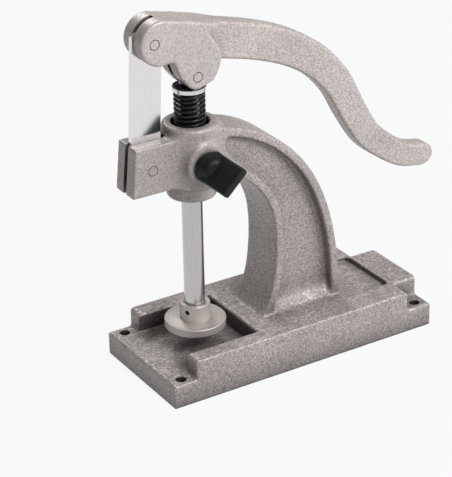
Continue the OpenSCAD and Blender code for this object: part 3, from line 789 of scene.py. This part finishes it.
def knob_body(x, y, z):
    out = -y
    u = (x - ram_x) * wing_line[0] + (z - clamp_z) * wing_line[1]
    v = (x - ram_x) * wing_line[1] - (z - clamp_z) * wing_line[0]
    across_stud = np.hypot(x - ram_x, z - clamp_z)
    foot = slab(across_stud - foot_r, np.maximum(knob_start - out, out - knob_start - foot_h), r=0.8)
    dome = slab(across_stud - hub_r + hub_taper * (out - knob_start) ** 2,
                np.maximum(knob_start - out, out - knob_start - hub_h), r=2)
    wing = slab(np.maximum(np.abs(u) - wing_half_w, np.maximum(knob_start - out, out - knob_end)),
                np.abs(v) - wing_half_t, r=1.7)
    corner = np.hypot(np.maximum(np.abs(u) - wing_half_w + corner_r, 0),
                      np.maximum(out - knob_end + corner_r, 0)) - corner_r
    wing = common(wing, corner, soft=0.6)
    return join(join(foot, dome, soft=1.2), wing, soft=2.2)


knob = skin("knob_body", knob_body, (ram_x - 12, -51, clamp_z - 12), (ram_x + 12, -18, clamp_z + 12),
            step=0.4)
knob = thin(knob, share=0.4)
stud_end = knob_start + 7
cut(knob, [lathe("stud_hole", [(2.95, 17), (2.95, stud_end)], *clamp_line, sides=48)])
shade(knob)
plastic, plastic_shader, add, wire = nodes_of("black_plastic")
spot = add("ShaderNodeTexCoord").outputs["Object"]
grain = add("ShaderNodeTexNoise", {"Vector": spot}, Scale=2600.0, Detail=2.0).outputs["Fac"]
wire(ramp(add, grain, [(0.3, (0.006, 0.006, 0.007)), (0.8, (0.014, 0.013, 0.015))]), "Base Color")
wire(bumps(add, grain, 0.3).outputs["Normal"], "Normal")
plastic_shader.inputs["Roughness"].default_value = 0.5
plastic_shader.inputs["Specular IOR Level"].default_value = 0.3
coat(knob, plastic)
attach(knob, "knob")
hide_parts("clamp_knob")

# The stud is a bright steel screw, moulded into the knob. A brass pad at its
# end bears on the ram, so that the screw doesn't mark it.
pad_start, pad_end, pad_r = 6.85, 10.85, 2.95
root_r, crest_r, stud_r, pitch = 2.45, 2.93, 2.94, 1.0
thread = [(2.2, pad_end)]
for i in range(int((boss_reach - pad_end) / pitch)):
    at = pad_end + 0.8 + i * pitch
    thread += [(root_r, at), (crest_r, at + 0.42), (crest_r, at + 0.58)]
thread += [(root_r, boss_reach + 0.2), (stud_r, boss_reach + 0.7), (stud_r, stud_end)]
stud = lathe("stud_body", thread, *clamp_line, sides=48)
shade(stud, 25)
coat(stud, ground_steel("stud_steel", (0.66, 0.66, 0.67), 0.3, 0.1, (900, 2500, 900)))
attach(stud, "knob")
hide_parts("clamp_screw")
pad = lathe("pad_body", [(pad_r - 0.25, pad_start), (pad_r, pad_start + 0.25), (pad_r, pad_end - 0.25),
                         (pad_r - 0.25, pad_end)], *clamp_line, sides=48)
shade(pad, 30)
brass, brass_shader, add, wire = nodes_of("pad_brass")
spot = add("ShaderNodeTexCoord").outputs["Object"]
marks = add("ShaderNodeTexNoise", {"Vector": spot}, Scale=1800.0, Detail=2.0).outputs["Fac"]
wire(ramp(add, marks, [(0.3, (0.55, 0.40, 0.16)), (0.7, (0.72, 0.55, 0.25))]), "Base Color")
brass_shader.inputs["Metallic"].default_value = 1.0
brass_shader.inputs["Roughness"].default_value = 0.35
coat(pad, brass)
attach(pad, "clamp_pad")
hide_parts("clamp_pad")

# A plain white floor, which shows white to the camera and in polished steel and
# keeps the shadow. Four soft lamps: behind, overhead, in front and on the right.
floor_half, white_share, sky_fill = 6, 0.92, 0.2
floor_mesh = bpy.data.meshes.new("floor")
floor_mesh.from_pydata([(-floor_half, -floor_half, 0), (floor_half, -floor_half, 0),
                        (floor_half, floor_half, 0), (-floor_half, floor_half, 0)], [], [(0, 1, 2, 3)])
floor = place("floor", floor_mesh)
paper, paper_shader, add, wire = nodes_of("white_paper")
paper_shader.inputs["Base Color"].default_value = (0.45, 0.45, 0.45, 1)
paper_shader.inputs["Roughness"].default_value = 0.8
path = add("ShaderNodeLightPath").outputs
seen = sums(add, "MAXIMUM", path["Is Camera Ray"], path["Is Glossy Ray"])
glow = add("ShaderNodeEmission", Color=(1, 1, 1, 1), Strength=1.0)
shown = add("ShaderNodeMixShader", {"Fac": sums(add, "MULTIPLY", seen, white_share),
                                    1: paper_shader.outputs["BSDF"], 2: glow.outputs["Emission"]})
paper.node_tree.links.new(shown.outputs["Shader"], paper.node_tree.nodes["Material Output"].inputs["Surface"])
floor_mesh.materials.append(paper)


def lamp(name, spot, target, size, power):
    data = bpy.data.lights.new(name, "AREA")
    data.shape = "RECTANGLE"
    data.size, data.size_y = size
    data.energy = power
    light = bpy.data.objects.new(name, data)
    light.location = spot
    light.rotation_euler = (Vector(target) - Vector(spot)).to_track_quat("-Z", "Y").to_euler()
    bpy.context.scene.collection.objects.link(light)


lamp("back_lamp", (0.1, 0.75, 0.72), (0, 0, 0.1), (0.3, 0.25), 2.2)
lamp("top_lamp", (-0.1, 0.0, 1.0), (0, 0, 0.1), (0.6, 0.6), 1.1)
lamp("front_lamp", (0.15, -0.68, 0.66), (0, 0, 0.2), (0.5, 0.4), 5.7)
lamp("right_lamp", (1.0, -0.5, 0.5), (0, 0, 0.1), (0.5, 0.8), 2.6)
world = bpy.data.worlds.new("studio")
world.use_nodes = True
world_tree = world.node_tree
sky = world_tree.nodes["Background"]
sky.inputs["Color"].default_value = (1, 1, 1, 1)
world_path = world_tree.nodes.new("ShaderNodeLightPath")
pick = world_tree.nodes.new("ShaderNodeMath")
pick.operation = "MULTIPLY_ADD"
pick.inputs[1].default_value = 1 - sky_fill
pick.inputs[2].default_value = sky_fill
world_tree.links.new(world_path.outputs["Is Camera Ray"], pick.inputs[0])
world_tree.links.new(pick.outputs["Value"], sky.inputs["Strength"])
bpy.context.scene.world = world
bpy.context.scene.view_settings.view_transform = "Standard"
